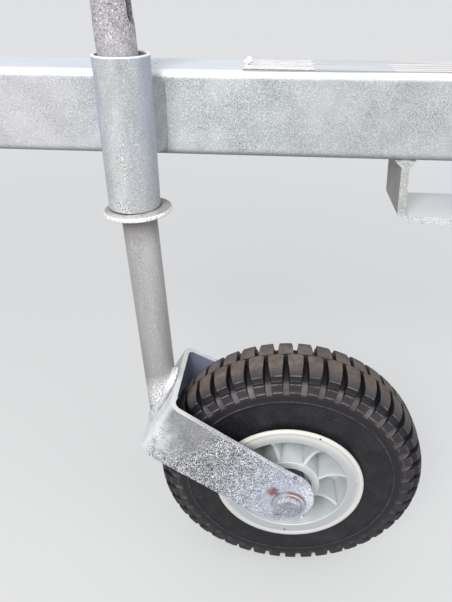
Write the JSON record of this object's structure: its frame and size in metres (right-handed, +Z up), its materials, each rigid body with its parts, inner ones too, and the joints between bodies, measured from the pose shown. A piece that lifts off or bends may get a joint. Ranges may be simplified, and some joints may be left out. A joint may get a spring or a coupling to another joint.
{
  "type": "trailer jockey wheel",
  "caption": "Pneumatic jockey wheel in a slanted galvanised fork, on a tubular stem that turns in a sleeve welded to a square drawbar.",
  "frame": {"origin": "middle of the drawbar's far face, level with the sleeve", "axes": "+X along the drawbar towards the trailer's body, +Z up, -Y towards the side the wheel hangs on"},
  "size_m": [0.8, 0.2601, 0.9165],
  "materials": {
    "galvanised_section": "dull hot-dip zinc with runs and scratches",
    "galvanised_tube": "hot-dip zinc, satin",
    "galvanised_flat_bar": "dull hot-dip zinc",
    "galvanised_stem": "weathered zinc, blotched and dirty",
    "galvanised_fork": "hot-dip zinc, satin, one rust spot",
    "weld_metal": "zinc-coated weld bead",
    "galvanised_fixings": "hot-dip zinc, satin",
    "rusty_washer": "rusted",
    "moulded_plastic": "pale grey moulding, dusty",
    "bush_nylon": "natural nylon",
    "tyre_rubber": "black rubber, brown dust on the tread"
  },
  "bodies": {
    "drawbar": {"drawbar": "galvanised_section", "sleeve": "galvanised_tube", "sleeve_welds": "weld_metal", "under_bracket": "galvanised_flat_bar", "bracket_welds": "weld_metal"},
    "post": {"stem": "galvanised_stem", "collar": "galvanised_tube", "collar_weld": "weld_metal", "fork": "galvanised_fork", "stem_weld": "weld_metal", "axle_bolt": "galvanised_fixings", "axle_nut": "galvanised_fixings", "washer_near": "rusty_washer", "washer_far": "rusty_washer", "spacer_near": "galvanised_fixings", "spacer_far": "galvanised_fixings"},
    "wheel": {"rim": "moulded_plastic", "bush_near": "bush_nylon", "bush_far": "bush_nylon", "valve": "tyre_rubber", "tyre": "tyre_rubber"}
  },
  "joints": [
    {"name": "swivel", "type": "hinge", "parent": "drawbar", "child": "post", "pos_m": [0, -0.1329, -0.016], "axis": [-0.0519, 0.0469, 0.9976], "continuous": true},
    {"name": "wheel_spin", "type": "hinge", "parent": "post", "child": "wheel", "pos_m": [0.2191, -0.15706, -0.52012], "axis": [-0.0024, -0.9989, 0.0468], "continuous": true}
  ]
}
